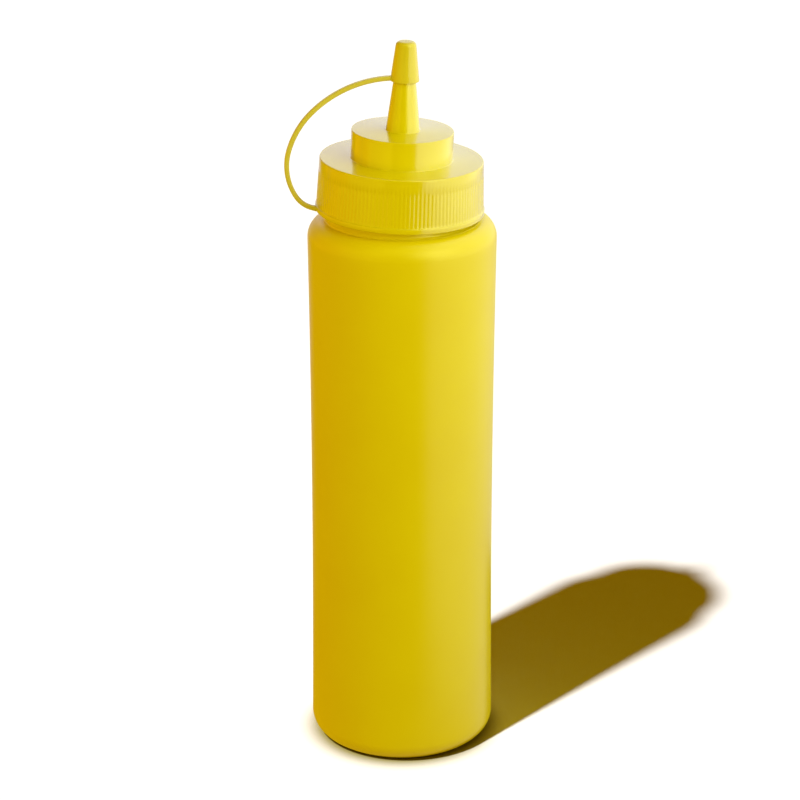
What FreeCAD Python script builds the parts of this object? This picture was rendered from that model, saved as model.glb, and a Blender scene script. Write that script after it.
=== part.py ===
import FreeCAD, Part
import math
import os

# Wide-mouth squeeze bottle with a screw lid, a cone nozzle and a tethered tip cap.
# Millimetres. The base stands on Z = 0 with its centre at the origin, and the
# tether loops out on the -X side.

# bottle body, blow moulded
end_radius = 34.1            # wall carried down to the base plane and up to the shoulder plane
waist_radius = 33.35         # half way up the wall
shoulder_height = 202.2
heel_radius = 7.2
shoulder_radius = 6.9
foot_ring_radius = 25.0      # inner edge of the ring that the bottle stands on
push_up = 2.4                # rise of the hollowed base at its centre

# neck under the lid: it leans a little to the right, and the lid leans with it
neck_radius = 27.6
neck_root_fillet = 0.8
neck_lean_deg = 2.1
neck_shift = -0.85           # X of the lid's axis at the height of the skirt's lower rim

# lid skirt and crown
rim_height = 204.9           # lower rim of the skirt
crown_height = 224.2         # flat top of the skirt
ring_height = 2.0            # plain ring at the foot of the skirt
ring_radius = 30.3
skirt_top_radius = 29.25
skirt_draft = 0.041          # growth of the radius for each millimetre down
lid_wall = 1.5
skirt_bore_radius = 28.3
ring_edge_fillet = 0.2
crown_edge_fillet = 0.55

# grip ribs on the skirt
rib_count = 128
rib_depth = 0.25
rib_top_height = 219.7

# raised step on the crown
step_radius = 18.25
step_height = 234.5
step_edge_fillet = 0.35

# cone nozzle and its bore
nozzle_base_radius = 6.1
nozzle_taper = 0.117         # loss of radius for each millimetre up
nozzle_tip_height = 264.9
bore_base_radius = 4.7
orifice_radius = 1.4

# tip cap pushed over the nozzle
cap_rim_height = 252.3
cap_top_height = 266.5
cap_rim_radius = 5.17
cap_taper = 0.117
cap_top_fillet = 1.6
socket_clearance = 0.05

# tether strap: a chain of tangent arcs in an upright plane through the lid's axis
tether_side_deg = 189.0
tether_thickness = 1.7
tether_width = 2.2
tether_corner = 0.5
tether_start_rise_deg = 7.2
tether_bends = (             # radius and turn of each arc, from the skirt to the cap
    (10.2, 48.1),
    (20.8, 49.0),
    (30.7, 30.1),
    (41.1, 43.6),
)
tether_rise = 0.05           # underside of the strap above the skirt's lower rim
tether_root_length = 1.0     # straight start inside the ring, cut away at its face
cap_root_depth = 0.5         # the strap grows out of the cap's wall at this depth
foot_length = 1.4
foot_root_length = 0.5       # the foot's own start inside the ring, cut away too
foot_width = 3.6
foot_height = 1.8

same_size = 0.02             # sizes closer than this count as one when edges are looked up


def point(radius, height):
    return FreeCAD.Vector(radius, 0, height)


def revolve(edges):
    wire = Part.Wire(Part.__sortEdges__(edges))
    face = Part.Face(wire)
    return face.revolve(FreeCAD.Vector(0, 0, 0), FreeCAD.Vector(0, 0, 1), 360)


def polygon_edges(corners):
    closed = list(corners) + [corners[0]]
    return [Part.makeLine(a, b) for a, b in zip(closed, closed[1:])]


def revolve_polygon(*corners):
    return revolve(polygon_edges([point(radius, height) for radius, height in corners]))


def ring_edges(shape, radius, height):
    """Round edges of this radius at this height."""
    found = []
    for edge in shape.Edges:
        if edge.Degenerated:
            continue
        curve = edge.Curve
        if not isinstance(curve, Part.Circle):
            continue
        if abs(curve.Radius - radius) < same_size and abs(curve.Center.z - height) < same_size:
            found.append(edge)
    return found


def skirt_radius(height):
    return skirt_top_radius + skirt_draft * (crown_height - height)


def nozzle_radius(height):
    return nozzle_base_radius - nozzle_taper * (height - step_height)


def cap_radius(height):
    return cap_rim_radius - cap_taper * (height - cap_rim_height)


def lean_with_neck(shape):
    shape.rotate(FreeCAD.Vector(0, 0, rim_height), FreeCAD.Vector(0, 1, 0), neck_lean_deg)
    shape.translate(FreeCAD.Vector(neck_shift, 0, 0))
    return shape


def make_body():
    wall = Part.BezierCurve()
    wall.setPoles([
        point(end_radius, 0),
        point(2 * waist_radius - end_radius, shoulder_height / 2),
        point(end_radius, shoulder_height),
    ])
    dome_radius = (foot_ring_radius ** 2 + push_up ** 2) / (2 * push_up)
    half_way = math.asin(foot_ring_radius / dome_radius) / 2
    dome = Part.Arc(
        point(0, push_up),
        point(dome_radius * math.sin(half_way), push_up - dome_radius * (1 - math.cos(half_way))),
        point(foot_ring_radius, 0),
    ).toShape()
    body = revolve([
        dome,
        Part.makeLine(point(foot_ring_radius, 0), point(end_radius, 0)),
        wall.toShape(),
        Part.makeLine(point(end_radius, shoulder_height), point(0, shoulder_height)),
        Part.makeLine(point(0, shoulder_height), point(0, push_up)),
    ])
    body = body.makeFillet(heel_radius, ring_edges(body, end_radius, 0))
    return body.makeFillet(shoulder_radius, ring_edges(body, end_radius, shoulder_height))


def make_neck():
    root = shoulder_height - shoulder_radius
    top = crown_height - lid_wall
    neck = Part.makeCylinder(neck_radius, top - root, point(0, root))
    return lean_with_neck(neck)


def neck_root_edges(bottle):
    """The edge round the neck's foot, found within the fillet's own reach of it."""
    reach = neck_root_fillet
    found = []
    for edge in bottle.Edges:
        box = edge.BoundBox
        level = abs(box.ZMin - shoulder_height) < reach and abs(box.ZMax - shoulder_height) < reach
        if level and abs(box.YLength / 2 - neck_radius) < reach:
            found.append(edge)
    return found


def make_bottle():
    bottle = make_body().fuse(make_neck()).removeSplitter()
    return bottle.makeFillet(neck_root_fillet, neck_root_edges(bottle))


def rib_wire(height):
    """Closed zigzag outline: one crest and one valley for each rib."""
    crest = skirt_radius(height)
    step = math.pi / rib_count
    corners = []
    for i in range(2 * rib_count):
        radius = crest - rib_depth * (i % 2)
        corners.append(FreeCAD.Vector(radius * math.cos(i * step), radius * math.sin(i * step), height))
    return Part.makePolygon(corners + [corners[0]])


def make_ribs():
    ring_top = rim_height + ring_height
    ribs = Part.makeLoft([rib_wire(ring_top), rib_wire(rib_top_height)], True, True)
    core = Part.makeCylinder(skirt_bore_radius, rib_top_height - ring_top, point(0, ring_top))
    return ribs.cut(core)


def make_lid_shell():
    ring_top = rim_height + ring_height
    ceiling = crown_height - lid_wall
    step_ceiling = step_height - lid_wall
    step_bore = step_radius - lid_wall
    shell = revolve_polygon(
        (skirt_bore_radius, rim_height),
        (ring_radius, rim_height),
        (ring_radius, ring_top),
        (skirt_radius(ring_top) - rib_depth, ring_top),
        (skirt_radius(rib_top_height) - rib_depth, rib_top_height),
        (skirt_radius(rib_top_height), rib_top_height),
        (skirt_top_radius, crown_height),
        (step_radius, crown_height),
        (step_radius, step_height),
        (nozzle_base_radius, step_height),
        (nozzle_radius(nozzle_tip_height), nozzle_tip_height),
        (orifice_radius, nozzle_tip_height),
        (bore_base_radius, step_ceiling),
        (step_bore, step_ceiling),
        (step_bore, ceiling),
        (skirt_bore_radius, ceiling),
    )
    for fillet, radius, height in (
        (ring_edge_fillet, ring_radius, rim_height),
        (ring_edge_fillet, ring_radius, ring_top),
        (crown_edge_fillet, skirt_top_radius, crown_height),
        (step_edge_fillet, step_radius, step_height),
    ):
        shell = shell.makeFillet(fillet, ring_edges(shell, radius, height))
    return shell


def make_lid():
    lid = make_lid_shell().fuse(make_ribs()).removeSplitter()
    return lean_with_neck(lid)


def make_cap():
    cap = revolve_polygon(
        (0, cap_top_height),
        (cap_radius(cap_top_height), cap_top_height),
        (cap_rim_radius, cap_rim_height),
        (nozzle_radius(cap_rim_height) + socket_clearance, cap_rim_height),
        (nozzle_radius(nozzle_tip_height) + socket_clearance, nozzle_tip_height),
        (0, nozzle_tip_height),
    )
    return cap.makeFillet(cap_top_fillet, ring_edges(cap, cap_radius(cap_top_height), cap_top_height))


def tether_path():
    """Tangent arcs in the XZ plane, out from the skirt's ring and up to the cap's rim."""
    x = ring_radius
    z = rim_height + tether_thickness / 2 + tether_rise
    heading = math.radians(tether_start_rise_deg)
    start = FreeCAD.Vector(math.cos(heading), 0, math.sin(heading))
    lead_in = Part.makeLine(point(x, z) - start * tether_root_length, point(x, z))
    edges = [lead_in]
    for radius, turn in tether_bends:
        sweep = math.radians(turn)
        centre_x = x - radius * math.sin(heading)
        centre_z = z + radius * math.cos(heading)
        stops = []
        for part in (0, 0.5, 1):
            angle = heading + sweep * part
            stops.append(point(centre_x + radius * math.sin(angle), centre_z - radius * math.cos(angle)))
        edges.append(Part.Arc(*stops).toShape())
        x = stops[2].x
        z = stops[2].z
        heading += sweep
    print("tether ends at", round(x, 2), round(z, 2), "heading", round(math.degrees(heading), 1))
    return Part.Wire(edges)


def rounded_rectangle(thickness, width, corner):
    """Closed outline about the origin in the XY plane, its long side along Y."""
    x = thickness / 2 - corner
    y = width / 2 - corner
    corner_centres = ((x, y), (-x, y), (-x, -y), (x, -y))
    edges = []
    for quarter, (centre_x, centre_y) in enumerate(corner_centres):
        stops = []
        for part in (0, 0.5, 1):
            angle = (quarter + part) * math.pi / 2
            across = FreeCAD.Vector(math.cos(angle), math.sin(angle), 0)
            stops.append(FreeCAD.Vector(centre_x, centre_y, 0) + across * corner)
        if edges:
            edges.append(Part.makeLine(edges[-1].Vertexes[-1].Point, stops[0]))
        edges.append(Part.Arc(*stops).toShape())
    edges.append(Part.makeLine(edges[-1].Vertexes[-1].Point, edges[0].Vertexes[0].Point))
    return Part.Wire(edges)


def tether_section(centre, normal, thickness, width):
    """The strap's outline across its path."""
    wire = rounded_rectangle(thickness, width, tether_corner)
    turn = FreeCAD.Rotation(FreeCAD.Vector(0, 0, 1), normal)
    wire.Placement = FreeCAD.Placement(centre, turn)
    return wire


def make_tether():
    """The strap, with a foot that widens where it meets the skirt's ring."""
    path = tether_path()
    first = path.Edges[0]
    inner = first.valueAt(first.FirstParameter)
    root = first.valueAt(first.LastParameter)
    outward = first.tangentAt(first.FirstParameter)
    strap_section = tether_section(inner, outward, tether_thickness, tether_width)
    strap = path.makePipeShell([strap_section], True, False)
    foot = Part.makeLoft([
        tether_section(root - outward * foot_root_length, outward, foot_height, foot_width),
        tether_section(root + outward * foot_length, outward, tether_thickness, tether_width),
    ], True, True)
    return strap.fuse(foot)


def make_tip_cap():
    tether = make_tether()
    tether.rotate(FreeCAD.Vector(0, 0, 0), FreeCAD.Vector(0, 0, 1), tether_side_deg)
    lid_space = Part.makeCylinder(ring_radius, crown_height)
    in_wall = nozzle_radius(cap_rim_height) + cap_root_depth
    cap_space = Part.makeCylinder(in_wall, cap_top_height - crown_height, point(0, crown_height))
    tether = tether.cut(lid_space).cut(cap_space)
    tip_cap = make_cap().fuse(tether).removeSplitter()
    return lean_with_neck(tip_cap)


def main():
    os.makedirs("parts", exist_ok=True)
    nodes = {
        "bottle": make_bottle(),
        "lid": make_lid(),
        "tip_cap": make_tip_cap(),
    }
    for name, shape in nodes.items():
        solid = shape.Solids[0]
        print(name, len(shape.Solids), "solid", solid.isValid(), round(solid.Volume / 1000, 2), "cm3")
        solid.exportStep("parts/" + name + ".step")


main()
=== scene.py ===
import math

import bpy
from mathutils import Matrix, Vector


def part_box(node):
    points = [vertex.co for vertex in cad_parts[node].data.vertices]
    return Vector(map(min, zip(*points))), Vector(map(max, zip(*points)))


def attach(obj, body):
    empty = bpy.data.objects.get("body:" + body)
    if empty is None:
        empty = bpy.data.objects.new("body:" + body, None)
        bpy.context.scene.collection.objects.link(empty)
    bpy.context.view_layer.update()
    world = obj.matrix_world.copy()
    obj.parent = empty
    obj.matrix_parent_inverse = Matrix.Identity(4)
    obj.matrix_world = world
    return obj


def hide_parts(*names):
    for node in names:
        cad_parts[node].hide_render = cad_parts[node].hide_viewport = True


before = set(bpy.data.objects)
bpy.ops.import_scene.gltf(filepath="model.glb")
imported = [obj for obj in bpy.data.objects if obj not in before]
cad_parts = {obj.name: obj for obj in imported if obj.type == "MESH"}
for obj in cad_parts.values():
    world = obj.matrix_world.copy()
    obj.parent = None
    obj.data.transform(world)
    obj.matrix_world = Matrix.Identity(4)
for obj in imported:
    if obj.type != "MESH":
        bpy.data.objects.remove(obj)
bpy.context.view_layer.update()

# Yellow squeeze bottle: a blow moulded body, a moulded lid with a cone nozzle, and a
# tip cap on a looped strap. Metres, +Z up, the base stands on Z = 0.
mm = 0.001
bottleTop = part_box("bottle")[1].z
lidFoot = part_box("lid")[0].z


class Wire:  # one output socket of a tree; sums on it add the nodes
    def __init__(self, tree, socket):
        self.tree = tree
        self.socket = socket

    def maths(self, operation, *terms):
        wires = [term for term in terms if isinstance(term, Wire)]
        isVector = any(wire.socket.type in ("VECTOR", "RGBA") for wire in wires)
        kind = "ShaderNodeVectorMath" if isVector else "ShaderNodeMath"
        return self.tree.add(kind, {"operation": operation}, dict(enumerate(terms)))

    def out(self, name):
        return Wire(self.tree, self.socket.node.outputs[name])

    def __add__(self, other):
        return self.maths("ADD", self, other)

    def __radd__(self, other):
        return self.maths("ADD", other, self)

    def __sub__(self, other):
        return self.maths("SUBTRACT", self, other)

    def __rsub__(self, other):
        return self.maths("SUBTRACT", other, self)

    def __mul__(self, other):
        return self.maths("MULTIPLY", self, other)

    def __rmul__(self, other):
        return self.maths("MULTIPLY", other, self)

    def __truediv__(self, other):
        return self.maths("DIVIDE", self, other)

    def __rtruediv__(self, other):
        return self.maths("DIVIDE", other, self)

    def __gt__(self, other):
        return self.maths("GREATER_THAN", self, other)


class Tree:  # adds nodes: type, settings, sockets by name or number
    def __init__(self, nodeTree):
        self.nodes = nodeTree.nodes
        self.links = nodeTree.links

    def add(self, kind, settings=None, sockets=None, output=0):
        node = self.nodes.new(kind)
        for name, value in (settings or {}).items():
            setattr(node, name, value)
        for name, value in (sockets or {}).items():
            self.plug(self.inputOf(node, name), value)
        if not node.outputs:
            return None
        if output == "Result_Color":  # a mix has three results, and only the identifier tells them apart
            return Wire(self, next(end for end in node.outputs if end.identifier == output))
        return Wire(self, node.outputs[output])

    def inputOf(self, node, name):
        shown = [socket for socket in node.inputs if socket.enabled]
        if isinstance(name, int):
            return shown[name]
        return next(socket for socket in shown if socket.name == name)

    def plug(self, socket, value):
        if isinstance(value, Wire):
            self.links.new(value.socket, socket)
        elif hasattr(socket.default_value, "__len__") and not hasattr(value, "__len__"):
            socket.default_value = [value] * len(socket.default_value)
        else:
            socket.default_value = value

    def ease(self, value, low, high):  # 0 below low, 1 above high, smooth between
        return self.add("ShaderNodeMapRange", {"interpolation_type": "SMOOTHSTEP"},
                        {"Value": value, "From Min": low, "From Max": high})

    def along(self, place, side):  # how far a place lies to one side
        return self.add("ShaderNodeVectorMath", {"operation": "DOT_PRODUCT"},
                        {0: place, 1: side}, "Value")

    def noise(self, place, scale, detail=2.0, roughness=0.5):
        return self.add("ShaderNodeTexNoise", None,
                        {"Vector": place, "Scale": scale, "Detail": detail, "Roughness": roughness})

    def mixColour(self, factor, first, second):
        return self.add("ShaderNodeMix", {"data_type": "RGBA"},
                        {"Factor": factor, "A": first, "B": second}, "Result_Color")


def srgb(red, green, blue):  # screen colour, 0 to 255, as linear light
    def linear(value):
        share = value / 255
        return share / 12.92 if share <= 0.04045 else ((share + 0.055) / 1.055) ** 2.4
    return (linear(red), linear(green), linear(blue), 1)


def newMaterial(name):
    material = bpy.data.materials.new(name)
    material.use_nodes = True
    material.node_tree.nodes.clear()
    return material, Tree(material.node_tree)


def finishMaterial(tree, shader):
    tree.add("ShaderNodeOutputMaterial", None, {"Surface": shader})


bodyLooks = {
    "colour": srgb(242, 227, 6),
    "deep": srgb(240, 223, 4),      # where the wall is a little thicker
    "cloud": 28,                     # fineness of the slow colour change, per metre
    "cloudRange": (0.35, 0.7),
    "wear": 168,                     # fineness of the change in roughness, per metre
    "roughness": (0.29, 0.36),
    "ior": 1.58,
    "peel": 300,                     # grain of the blown skin, per metre
    "peelDepth": 0.003 * mm,
    "seamWidth": 0.5 * mm,           # very faint parting line, down both sides and across the base
    "seamDepth": 0.03 * mm,
}


def bodyMaterial(looks):
    material, tree = newMaterial("blownPlastic")
    place = tree.add("ShaderNodeTexCoord").out("Object")
    cloud = tree.noise(place, looks["cloud"], 3.0)
    colour = tree.mixColour(tree.ease(cloud, *looks["cloudRange"]), looks["colour"], looks["deep"])
    wear = tree.noise(place, looks["wear"], 4.0, 0.6)
    low, high = looks["roughness"]
    roughness = low + wear * (high - low)
    peel = tree.noise(place, looks["peel"], 2.0)
    split = tree.add("ShaderNodeSeparateXYZ", None, {"Vector": place})
    offSeam = tree.add("ShaderNodeMath", {"operation": "ABSOLUTE"}, {0: split.out("Y")})
    seam = tree.add("ShaderNodeBump", None, {
        "Strength": 1.0,
        "Distance": looks["seamDepth"],
        "Height": 1 - tree.ease(offSeam, 0.0, looks["seamWidth"]),
    })
    bump = tree.add("ShaderNodeBump", None, {
        "Strength": 1.0,
        "Distance": looks["peelDepth"],
        "Height": peel,
        "Normal": seam,
    })
    shader = tree.add("ShaderNodeBsdfPrincipled", None, {
        "Base Color": colour,
        "Roughness": roughness,
        "IOR": looks["ior"],
        "Normal": bump,
    })
    finishMaterial(tree, shader)
    return material


lidLooks = {
    "colour": srgb(234, 221, 6),
    "deep": srgb(233, 218, 4),
    "cloud": 45,
    "cloudRange": (0.35, 0.7),
    "wear": 315,
    "roughness": (0.25, 0.27),
    "ior": 1.5,
    "coat": 1.0,
    "coatRoughness": 0.035,
    "coatIor": 1.5,
    "grain": 260,
    "grainDepth": 0.0004 * mm,
}
capLooks = dict(lidLooks, colour=srgb(230, 217, 70), deep=srgb(227, 213, 58), coat=0.4)
strapLooks = dict(lidLooks, colour=srgb(226, 218, 142), deep=srgb(219, 208, 124), coat=0.3)


def gloss(name, looks):
    material, tree = newMaterial(name)
    place = tree.add("ShaderNodeTexCoord").out("Object")
    cloud = tree.noise(place, looks["cloud"], 3.0)
    colour = tree.mixColour(tree.ease(cloud, *looks["cloudRange"]), looks["colour"], looks["deep"])
    wear = tree.noise(place, looks["wear"], 4.0, 0.6)
    low, high = looks["roughness"]
    roughness = low + wear * (high - low)
    grain = tree.noise(place, looks["grain"], 2.0)
    bump = tree.add("ShaderNodeBump", None,
                    {"Strength": 1.0, "Distance": looks["grainDepth"], "Height": grain})
    shader = tree.add("ShaderNodeBsdfPrincipled", None, {
        "Base Color": colour,
        "Roughness": roughness,
        "IOR": looks["ior"],
        "Coat Weight": looks["coat"],
        "Coat Roughness": looks["coatRoughness"],
        "Coat IOR": looks["coatIor"],
        "Normal": bump,
    })
    finishMaterial(tree, shader)
    return material


bodyPaint = bodyMaterial(bodyLooks)
lidPaint = gloss("lidPlastic", lidLooks)
capPaint = gloss("capPlastic", capLooks)
strapPaint = gloss("strapPlastic", strapLooks)
print("materials made")


def geometryTree(name, inputs):
    group = bpy.data.node_groups.new(name, "GeometryNodeTree")
    face = group.interface
    face.new_socket("Geometry", in_out="INPUT", socket_type="NodeSocketGeometry")
    face.new_socket("Geometry", in_out="OUTPUT", socket_type="NodeSocketGeometry")
    for label, kind in inputs.items():
        face.new_socket(label, in_out="INPUT", socket_type="NodeSocket" + kind)
    tree = Tree(group)
    return group, tree, tree.add("NodeGroupInput")


def finishTree(tree, start, shape):
    smooth = tree.add("GeometryNodeSetShadeSmooth", None, {"Geometry": shape})
    real = tree.add("GeometryNodeRealizeInstances", None, {"Geometry": smooth})
    painted = tree.add("GeometryNodeSetMaterial", None,
                       {"Geometry": real, "Material": start.out("Material")})
    end = tree.nodes.new("NodeGroupOutput")
    tree.links.new(painted.socket, end.inputs[0])


def leaned(tree, start, place):  # turns a point about the lid's pivot and shifts it, as the neck does
    turned = tree.add("ShaderNodeVectorRotate", {"rotation_type": "Y_AXIS"}, {
        "Vector": place,
        "Center": tree.add("ShaderNodeCombineXYZ", None, {"Z": start.out("Pivot Height")}),
        "Angle": start.out("Lean"),
    })
    return turned + tree.add("ShaderNodeCombineXYZ", None, {"X": start.out("Shift")})


leanInputs = {"Lean": "Float", "Pivot Height": "Float", "Shift": "Float"}
weldReach = 0.004 * mm               # points nearer than this become one, at the poles and the seam


def latheTree():
    group, tree, start = geometryTree("lathe", {
        "Segments": "Int",
        "Rib Count": "Int",
        "Rib Depth": "Float",
        "Rib Low": "Float",
        "Rib High": "Float",
        "Rib Ease": "Float",
        "Rib Inside": "Float",       # ribs only where the radius is larger than this
        "Lean From": "Float",
        "Lean Full": "Float",
        **leanInputs,
        "Material": "Material",
    })
    outline = start.out("Geometry")
    count = tree.add("GeometryNodeAttributeDomainSize", {"component": "MESH"}, {"Geometry": outline})
    grid = tree.add("GeometryNodeMeshGrid", None, {
        "Vertices X": start.out("Segments") + 1,
        "Vertices Y": count,
    })
    index = tree.add("GeometryNodeInputIndex")
    row = tree.add("FunctionNodeIntegerMath", {"operation": "MODULO"}, {0: index, 1: count})
    column = tree.add("FunctionNodeIntegerMath", {"operation": "DIVIDE"}, {0: index, 1: count})
    turn = column / start.out("Segments") * math.tau
    sampled = tree.add("GeometryNodeSampleIndex", {"data_type": "FLOAT_VECTOR", "domain": "POINT"}, {
        "Geometry": outline,
        "Value": tree.add("GeometryNodeInputPosition"),
        "Index": row,
    })
    split = tree.add("ShaderNodeSeparateXYZ", None, {"Vector": sampled})
    radius, height = split.out("X"), split.out("Z")
    valley = 0.5 - 0.5 * tree.add("ShaderNodeMath", {"operation": "COSINE"},
                                  {0: turn * start.out("Rib Count")})
    low, high, ease = start.out("Rib Low"), start.out("Rib High"), start.out("Rib Ease")
    band = tree.ease(height, low, low + ease) * (1 - tree.ease(height, high - ease, high))
    outside = radius > start.out("Rib Inside")
    radius = radius - valley * band * outside * start.out("Rib Depth")
    upright = tree.add("ShaderNodeCombineXYZ", None, {
        "X": radius * tree.add("ShaderNodeMath", {"operation": "COSINE"}, {0: turn}),
        "Y": radius * tree.add("ShaderNodeMath", {"operation": "SINE"}, {0: turn}),
        "Z": height,
    })
    lean = tree.ease(height, start.out("Lean From"), start.out("Lean Full"))
    place = upright + (leaned(tree, start, upright) - upright) * lean
    shaped = tree.add("GeometryNodeSetPosition", None, {"Geometry": grid, "Position": place})
    closed = tree.add("GeometryNodeMergeByDistance", None, {"Geometry": shaped, "Distance": weldReach})
    finishTree(tree, start, closed)
    return group


def strapTree():
    group, tree, start = geometryTree("strap", {
        "Thickness": "Float",
        "Width": "Float",
        "Corner": "Float",
        "Foot Width": "Float",
        "Foot From": "Float",        # distance from the lid's axis where the foot begins
        "Foot Length": "Float",
        "Foot Top": "Float",         # the strap keeps its own width above this height
        "Foot Ease": "Float",
        "Side": "Float",             # turn of the strap's plane round the axis
        **leanInputs,
        "Material": "Material",
    })
    path = tree.add("GeometryNodeMeshToCurve", None, {"Mesh": start.out("Geometry")})
    section = tree.add("GeometryNodeCurvePrimitiveQuadrilateral", None, {
        "Width": start.out("Width"),
        "Height": start.out("Thickness"),
    })
    rounded = tree.add("GeometryNodeFilletCurve", {"mode": "POLY"}, {
        "Curve": section,
        "Count": 4,
        "Radius": start.out("Corner"),
    })
    tube = tree.add("GeometryNodeCurveToMesh", None, {
        "Curve": path,
        "Profile Curve": rounded,
        "Fill Caps": True,
    })
    split = tree.add("ShaderNodeSeparateXYZ", None, {"Vector": tree.add("GeometryNodeInputPosition")})
    x, y, z = split.out("X"), split.out("Y"), split.out("Z")
    foot = 1 - tree.ease(x, start.out("Foot From"), start.out("Foot From") + start.out("Foot Length"))
    low = 1 - tree.ease(z, start.out("Foot Top"), start.out("Foot Top") + start.out("Foot Ease"))
    spread = 1 + foot * low * (start.out("Foot Width") / start.out("Width") - 1)
    shaped = tree.add("ShaderNodeCombineXYZ", None, {"X": x, "Y": y * spread, "Z": z})
    aside = tree.add("ShaderNodeVectorRotate", {"rotation_type": "Z_AXIS"},
                     {"Vector": shaped, "Angle": start.out("Side")})
    placed = tree.add("GeometryNodeSetPosition", None,
                      {"Geometry": tube, "Position": leaned(tree, start, aside)})
    finishTree(tree, start, placed)
    return group


def runTree(name, group, points, values):  # the tree's result on a line of points, as a plain mesh
    line = bpy.data.meshes.new(name + "Line")
    line.from_pydata([(x, 0, z) for x, z in points], [(i, i + 1) for i in range(len(points) - 1)], [])
    piece = bpy.data.objects.new(name, line)
    bpy.context.scene.collection.objects.link(piece)
    modifier = piece.modifiers.new("shape", "NODES")
    modifier.node_group = group
    for item in group.interface.items_tree:
        if item.in_out == "INPUT" and item.name in values:
            modifier[item.identifier] = values[item.name]
    evaluated = piece.evaluated_get(bpy.context.evaluated_depsgraph_get())
    mesh = bpy.data.meshes.new_from_object(evaluated)
    piece.modifiers.remove(modifier)
    piece.data = mesh
    mesh.name = name
    print(name, len(mesh.vertices), "points", len(mesh.polygons), "faces")
    return piece


def roundedOutline(corners):  # each corner is radius, height, rounding and steps
    outline = [corners[0][:2]]
    for before, corner, after in zip(corners, corners[1:], corners[2:]):
        here = Vector(corner[:2])
        rounding = corner[2] if len(corner) > 2 else 0
        if not rounding:
            outline.append(tuple(here))
            continue
        toBefore = (Vector(before[:2]) - here).normalized()
        toAfter = (Vector(after[:2]) - here).normalized()
        half = toBefore.angle(toAfter) / 2
        centre = here + (toBefore + toAfter).normalized() * (rounding / math.sin(half))
        first = here + toBefore * (rounding / math.tan(half)) - centre
        last = here + toAfter * (rounding / math.tan(half)) - centre
        sweep = first.angle(last)
        steps = corner[3]
        for step in range(steps + 1):
            turned = sweep * step / steps
            spoke = (first * math.sin(sweep - turned) + last * math.sin(turned)) / math.sin(sweep)
            outline.append(tuple(centre + spoke))
    outline.append(corners[-1][:2])
    return outline


def divided(first, last, count):  # corners evenly between two others, the ends left out
    shares = [(i + 1) / (count + 1) for i in range(count)]
    return [tuple(a + (b - a) * share for a, b in zip(first, last)) for share in shares]


lathe = latheTree()
neckLean = {
    "Lean": math.radians(2.1),
    "Pivot Height": 204.9 * mm,
    "Shift": -0.85 * mm,
}
leansWhole = {"Lean From": -2.0, "Lean Full": -1.0}  # both lie under every point of the piece
noRibs = {
    "Rib Count": 1,
    "Rib Depth": 0.0,
    "Rib Low": 0.0,
    "Rib High": 1.0,
    "Rib Ease": 1.0,
    "Rib Inside": 1.0,
}


body = {
    "endRadius": 34.1 * mm,
    "waistRadius": 33.35 * mm,
    "shoulderHeight": 202.2 * mm,
    "heelRounding": 7.2 * mm,
    "shoulderRounding": 6.9 * mm,
    "footRadius": 25.0 * mm,
    "pushUp": 2.4 * mm,
    "neckRadius": 27.6 * mm,
    "neckRounding": 0.8 * mm,
    "neckTop": bottleTop - 1.1 * mm,  # its middle, under the high edge of the leaning top
    "topRounding": 0.6 * mm,
    "footRounding": 2.0 * mm,
    "straight": 4 * mm,               # wall kept clear of the heel and shoulder arcs
    "leanFrom": 202.15 * mm,          # the neck goes over into its lean between these heights
    "leanFull": 203.4 * mm,
    "segments": 192,
    "wallRows": 40,
    "domeRows": 10,
}


def wallRadius(height):
    share = 2 * height / body["shoulderHeight"] - 1
    return body["waistRadius"] + (body["endRadius"] - body["waistRadius"]) * share ** 2


def bottleOutline():
    corners = []
    for i in range(body["domeRows"]):
        share = i / body["domeRows"]
        corners.append((body["footRadius"] * share, body["pushUp"] * (1 - share ** 2)))
    corners.append((body["footRadius"], 0, body["footRounding"], 4))
    corners.append((wallRadius(0), 0, body["heelRounding"], 12))
    low = body["heelRounding"] + body["straight"]
    high = body["shoulderHeight"] - body["shoulderRounding"] - body["straight"]
    for i in range(body["wallRows"] + 1):
        height = low + (high - low) * i / body["wallRows"]
        corners.append((wallRadius(height), height))
    top = body["shoulderHeight"]
    corners.append((wallRadius(top), top, body["shoulderRounding"], 12))
    corners.append((body["neckRadius"], top, body["neckRounding"], 5))
    corners.append((body["neckRadius"], body["neckTop"], body["topRounding"], 4))
    corners.append((0, body["neckTop"]))
    return roundedOutline(corners)


bottle = runTree("bottle_body", lathe, bottleOutline(), {
    **noRibs, **neckLean,
    "Segments": body["segments"],
    "Lean From": body["leanFrom"],
    "Lean Full": body["leanFull"],
    "Material": bodyPaint,
})


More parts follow.
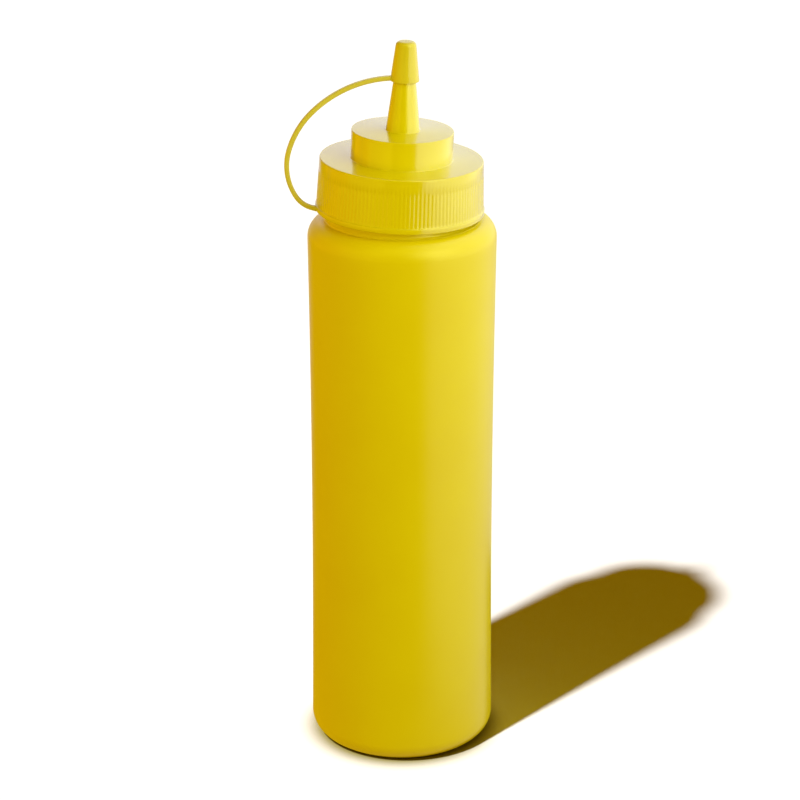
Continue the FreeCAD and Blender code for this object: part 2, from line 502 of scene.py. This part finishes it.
lid = {
    "rimHeight": 204.9 * mm,
    "crownHeight": 224.2 * mm,
    "ringHeight": 2.0 * mm,
    "ringRadius": 30.3 * mm,
    "topRadius": 29.25 * mm,
    "draft": 0.041,
    "wall": 1.5 * mm,
    "boreRadius": 28.3 * mm,
    "ribTop": 219.7 * mm,
    "ribCount": 128,
    "ribDepth": 0.11 * mm,            # shallower than the solid's own ribs
    "ribStart": 0.1 * mm,             # they begin this far down in the ring's top
    "ribEase": 0.6 * mm,
    "ribInside": 28.8 * mm,           # nothing nearer the axis is ribbed
    "ribRows": 24,
    "stepRadius": 18.25 * mm,
    "stepHeight": 234.5 * mm,
    "nozzleRadius": 6.1 * mm,
    "nozzleTaper": 0.117,
    "nozzleTip": 264.9 * mm,
    "boreBase": 4.7 * mm,
    "orifice": 1.4 * mm,
    "tipLand": 0.3 * mm,              # straight end of the bore at the tip
    "ringDraft": 0.02 * mm,
    "innerRounding": 0.8 * mm,
    "boreRounding": 0.4 * mm,
    "rimRounding": 0.3 * mm,
    "ringRounding": 0.35 * mm,
    "ringTopRounding": 0.3 * mm,
    "ribFootRounding": 0.15 * mm,
    "crownRounding": 0.55 * mm,
    "stepFootRounding": 0.3 * mm,
    "stepRounding": 0.35 * mm,
    "nozzleFootRounding": 0.35 * mm,
    "tipRounding": 0.2 * mm,
    "orificeRounding": 0.1 * mm,
    "segments": 768,
}


def skirtRadius(height):
    return lid["topRadius"] + lid["draft"] * (lid["crownHeight"] - height)


def nozzleRadius(height):
    return lid["nozzleRadius"] - lid["nozzleTaper"] * (height - lid["stepHeight"])


def lidOutline():
    ringTop = lid["rimHeight"] + lid["ringHeight"]
    ceiling = lid["crownHeight"] - lid["wall"]
    stepCeiling = lid["stepHeight"] - lid["wall"]
    stepBore = lid["stepRadius"] - lid["wall"]
    ribFoot = (skirtRadius(ringTop), ringTop, lid["ribFootRounding"], 2)
    ribHead = (skirtRadius(lid["ribTop"]), lid["ribTop"])
    tip = lid["nozzleTip"]
    stepTop = lid["stepHeight"]
    corners = [
        (lid["orifice"], tip - lid["tipLand"]),
        (lid["boreBase"], stepCeiling, lid["boreRounding"], 2),
        (stepBore, stepCeiling, lid["innerRounding"], 3),
        (stepBore, ceiling, lid["boreRounding"], 2),
        (lid["boreRadius"], ceiling, lid["innerRounding"], 3),
        (lid["boreRadius"], lid["rimHeight"], lid["rimRounding"], 2),
        (lid["ringRadius"], lid["rimHeight"], lid["ringRounding"], 4),
        (lid["ringRadius"] - lid["ringDraft"], ringTop, lid["ringTopRounding"], 4),
        ribFoot,
        *divided(ribFoot[:2], ribHead, lid["ribRows"]),
        ribHead,
        (lid["topRadius"], lid["crownHeight"], lid["crownRounding"], 6),
        (lid["stepRadius"], lid["crownHeight"], lid["stepFootRounding"], 4),
        (lid["stepRadius"], stepTop, lid["stepRounding"], 5),
        (nozzleRadius(stepTop), stepTop, lid["nozzleFootRounding"], 4),
        (nozzleRadius(tip), tip, lid["tipRounding"], 3),
        (lid["orifice"], tip, lid["orificeRounding"], 2),
        (lid["orifice"], tip - lid["tipLand"]),
    ]
    return roundedOutline(corners)


lidPiece = runTree("lid_moulding", lathe, lidOutline(), {
    **neckLean,
    "Segments": lid["segments"],
    "Rib Count": lid["ribCount"],
    "Rib Depth": lid["ribDepth"],
    "Rib Low": lid["rimHeight"] + lid["ringHeight"] - lid["ribStart"],
    "Rib High": lid["ribTop"],
    "Rib Ease": lid["ribEase"],
    "Rib Inside": lid["ribInside"],
    **leansWhole,
    "Material": lidPaint,
})


cap = {
    "rimHeight": 252.3 * mm,
    "topHeight": 266.5 * mm,
    "rimRadius": 5.17 * mm,
    "taper": 0.117,
    "topRounding": 1.6 * mm,
    "mouthRounding": 0.12 * mm,
    "rimRounding": 0.2 * mm,
    "clearance": 0.05 * mm,
    "wallRows": 5,
    "segments": 96,
}
strap = {
    "thickness": 1.7 * mm,
    "width": 2.2 * mm,
    "corner": 0.5 * mm,
    "side": math.radians(189),
    "rise": 0.05 * mm,
    "startRise": 7.2,                 # degrees the strap climbs where it leaves the ring
    "bends": ((10.2, 48.1), (20.8, 49.0), (30.7, 30.1), (41.1, 43.6)),  # millimetres, degrees
    "step": 3.0,                      # degrees of turn from one ring of points to the next
    "rootDepth": 0.8 * mm,            # how far the foot reaches into the ring
    "footWidth": 3.6 * mm,
    "footRise": 3.0 * mm,
    "footLength": 1.4 * mm,
}


def capOutline():
    topRadius = cap["rimRadius"] - cap["taper"] * (cap["topHeight"] - cap["rimHeight"])
    tip = lid["nozzleTip"]
    socketTop = tip + cap["clearance"]
    socketRim = nozzleRadius(cap["rimHeight"]) + cap["clearance"]
    wallFoot = (cap["rimRadius"], cap["rimHeight"])
    return roundedOutline([
        (0, socketTop),
        (nozzleRadius(tip) + cap["clearance"], socketTop),
        (socketRim, cap["rimHeight"], cap["mouthRounding"], 2),
        (*wallFoot, cap["rimRounding"], 3),
        *divided(wallFoot, (topRadius, cap["topHeight"]), cap["wallRows"]),
        (topRadius, cap["topHeight"], cap["topRounding"], 8),
        (0, cap["topHeight"]),
    ])


def strapLine():
    x = lid["ringRadius"]
    z = lid["rimHeight"] + strap["thickness"] / 2 + strap["rise"]
    heading = strap["startRise"]
    rise = Vector((math.cos(math.radians(heading)), math.sin(math.radians(heading))))
    inside = Vector((x, z)) - rise * strap["rootDepth"]
    line = [tuple(inside), (x, z)]
    for radius, turn in strap["bends"]:
        steps = max(2, round(turn / strap["step"]))
        centreX = x - radius * mm * math.sin(math.radians(heading))
        centreZ = z + radius * mm * math.cos(math.radians(heading))
        for i in range(steps):
            angle = math.radians(heading + turn * (i + 1) / steps)
            x = centreX + radius * mm * math.sin(angle)
            z = centreZ - radius * mm * math.cos(angle)
            line.append((x, z))
        heading += turn
    return line


capPiece = runTree("tip_cap_socket", lathe, capOutline(), {
    **noRibs, **neckLean,
    "Segments": cap["segments"],
    **leansWhole,
    "Material": capPaint,
})
strapPiece = runTree("tip_cap_strap", strapTree(), strapLine(), {
    **neckLean,
    "Thickness": strap["thickness"],
    "Width": strap["width"],
    "Corner": strap["corner"],
    "Foot Width": strap["footWidth"],
    "Foot From": lid["ringRadius"],
    "Foot Length": strap["footLength"],
    "Foot Top": lidFoot + strap["footRise"],
    "Foot Ease": strap["footRise"],
    "Side": strap["side"],
    "Material": strapPaint,
})

for piece, node, slot in (
    (bottle, "bottle", "bottle"),
    (lidPiece, "lid", "lid"),
    (capPiece, "tip_cap", "tip_cap"),
    (strapPiece, "tip_cap", "tip_cap"),
):
    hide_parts(node)
    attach(piece, "root")
print("pieces made")


camera = {
    "lens": 128.25,
    "sensor": 36,
    "distance": 1045.1 * mm,
    "aim": 132.09 * mm,               # height that it looks at
    "down": math.radians(20.8),
    "aside": -0.75 * mm,
    "farthest": 50,
}
cameraData = bpy.data.cameras.new("camera")
cameraData.lens = camera["lens"]
cameraData.sensor_width = camera["sensor"]
cameraData.clip_end = camera["farthest"]
cameraObject = bpy.data.objects.new("camera", cameraData)
cameraObject.location = (
    camera["aside"],
    -camera["distance"] * math.cos(camera["down"]),
    camera["aim"] + camera["distance"] * math.sin(camera["down"]),
)
cameraObject.rotation_euler = (math.pi / 2 - camera["down"], 0, 0)
bpy.context.scene.collection.objects.link(cameraObject)
bpy.context.scene.camera = cameraObject


# White to the camera only: it sends golden light up to the pieces, and their gloss shows
# it golden, grey or white according to the side.
ground = {
    "half": 12.0,
    "seen": (1, 1, 1, 1),
    "contact": 9 * mm,                # reach of the painted contact shade, a dark line where the base meets the floor
    "paintedContactShade": (0.30, 0.27, 0.08, 1),
    "contactRange": (0.2, 1.0),
    "contactSamples": 12,
    "bounce": (0.36, 0.27, 0.01, 1),  # the light that it sends up
    "shaded": (0.55, 0.40, 0.0, 1),   # what the gloss shows of the floor in front and to the left
    "lit": (0.62, 0.62, 0.62, 1),     # and of the floor to the right and behind
    "brightest": (1, 1, 1, 1),        # and in front to the right
    "paleSide": (math.cos(math.radians(29)), math.sin(math.radians(29)), 0),
    "paleRange": (-0.04, 0.06),
    "brightSide": (math.cos(math.radians(-30)), math.sin(math.radians(-30)), 0),
    "brightRange": (0.02, 0.26),
}


def floorMaterial():
    material, tree = newMaterial("paleFloor")
    rays = tree.add("ShaderNodeLightPath")
    # painted contact shadow: where ambient occlusion finds the base near, the floor's camera colour is
    # darkened towards the contact shade colour
    openness = tree.add("ShaderNodeAmbientOcclusion", {"samples": ground["contactSamples"]},
                        {"Distance": ground["contact"]}).out("AO")
    clear = tree.ease(openness, *ground["contactRange"])
    seen = tree.mixColour(clear, ground["paintedContactShade"], ground["seen"])
    place = tree.add("ShaderNodeTexCoord").out("Object")
    pale = tree.ease(tree.along(place, ground["paleSide"]), *ground["paleRange"])
    bright = tree.ease(tree.along(place, ground["brightSide"]), *ground["brightRange"])
    lit = tree.mixColour(bright, ground["lit"], ground["brightest"])
    mirrored = tree.mixColour(pale, ground["shaded"], lit)
    glossy = rays.out("Is Glossy Ray") + rays.out("Is Transmission Ray")
    colour = tree.mixColour(glossy, ground["bounce"], mirrored)
    colour = tree.mixColour(rays.out("Is Camera Ray"), colour, seen)
    finishMaterial(tree, tree.add("ShaderNodeBsdfDiffuse", None, {"Color": colour}))
    return material


floorMesh = bpy.data.meshes.new("floor")
half = ground["half"]
floorMesh.from_pydata([(-half, -half, 0), (half, -half, 0), (half, half, 0), (-half, half, 0)], [],
                      [(0, 1, 2, 3)])
floor = bpy.data.objects.new("floor", floorMesh)
floor.data.materials.append(floorMaterial())
bpy.context.scene.collection.objects.link(floor)

ambient = {
    "colour": (1.0, 0.53, 0.0, 1),    # orange fill for the pieces and the shadow
    "strength": 0.18,
    "backdrop": (1, 1, 1, 1),         # for the camera, and for the gloss behind and to the right
    "backdropRange": (-0.1, 0.3),
}
world = bpy.data.worlds.new("studio")
world.use_nodes = True
world.node_tree.nodes.clear()
air = Tree(world.node_tree)
rays = air.add("ShaderNodeLightPath")
heading = air.add("ShaderNodeTexCoord").out("Generated")
behind = air.ease(air.along(heading, ground["paleSide"]), *ambient["backdropRange"])
shown = air.add("ShaderNodeMath", {"operation": "MAXIMUM"}, {
    0: rays.out("Is Camera Ray"),
    1: behind * (rays.out("Is Glossy Ray") + rays.out("Is Transmission Ray")),
})
dim = air.add("ShaderNodeBackground", None,
              {"Color": ambient["colour"], "Strength": ambient["strength"]})
white = air.add("ShaderNodeBackground", None, {"Color": ambient["backdrop"], "Strength": 1.0})
air.add("ShaderNodeOutputWorld", None,
        {"Surface": air.add("ShaderNodeMixShader", None, {"Fac": shown, 1: dim, 2: white})})
bpy.context.scene.world = world

onFloor = bpy.data.collections.new("onFloor")
onPieces = bpy.data.collections.new("onPieces")
onFloor.objects.link(floor)
for piece in (bottle, lidPiece, capPiece, strapPiece):
    onPieces.objects.link(piece)


def lampObject(name, data, place, aim, only):
    lamp = bpy.data.objects.new(name, data)
    lamp.location = place
    lamp.rotation_euler = (Vector(place) - Vector(aim)).to_track_quat("Z", "Y").to_euler()
    bpy.context.scene.collection.objects.link(lamp)
    lamp.light_linking.receiver_collection = only
    return lamp


def cardLamp(name, place, aim, width, height, colour, radiance):
    data = bpy.data.lights.new(name, "AREA")
    data.shape = "RECTANGLE"
    data.size = width
    data.size_y = height
    data.color = colour
    data.energy = radiance * math.pi * width * height
    lampObject(name, data, place, aim, onPieces).visible_camera = False


key = {
    "fromLeft": math.radians(48.5),
    "height": math.radians(54.5),
    "angle": math.radians(2.6),
    "strength": 4.05,
}
sun = bpy.data.lights.new("key", "SUN")
sun.energy = key["strength"]
sun.angle = key["angle"]
keyPlace = (
    -math.cos(key["fromLeft"]) * math.cos(key["height"]),
    -math.sin(key["fromLeft"]) * math.cos(key["height"]),
    math.sin(key["height"]),
)
lampObject("key", sun, keyPlace, (0, 0, 0), onFloor)  # lights the floor alone, and casts the shadow

# Cards, all but the last one tinted, which light the pieces and not the floor: place, aim,
# width, height, colour and radiance.
cards = {
    "rightCard": ((0.30, -0.16, 0.46), (0, -0.16, 0.40), 0.8, 0.72, (0.94, 1, 0.5), 1.0),
    "rightBackCard": ((0.30, 0.49, 0.46), (0, 0.49, 0.40), 0.5, 0.72, (1, 0.9, 0.6), 0.43),
    "leftCard": ((-0.6, -0.5, 0.35), (0, 0, 0.13), 0.9, 0.9, (1, 0.83, 0.03), 0.81),
    "sideCard": ((-0.75, 0.15, 0.35), (0, 0, 0.15), 0.8, 0.7, (1, 0.42, 0.01), 0.80),
    "frontPanel": ((0.66, -0.74, 0.70), (0, 0, 0.12), 0.9, 0.7, (0.96, 1, 0.2), 1.74),
    "topPanel": ((-0.1, -0.6, 1.1), (0, 0, 0.2), 1.0, 0.8, (0.96, 1, 0.05), 0.73),
    "backPanel": ((0.0, 0.8, 0.45), (0, 0, 0.2), 1.8, 0.8, (1, 1, 1), 0.11),
}
for name, card in cards.items():
    cardLamp(name, *card)
print("studio made")

bpy.context.scene.view_settings.view_transform = "Standard"
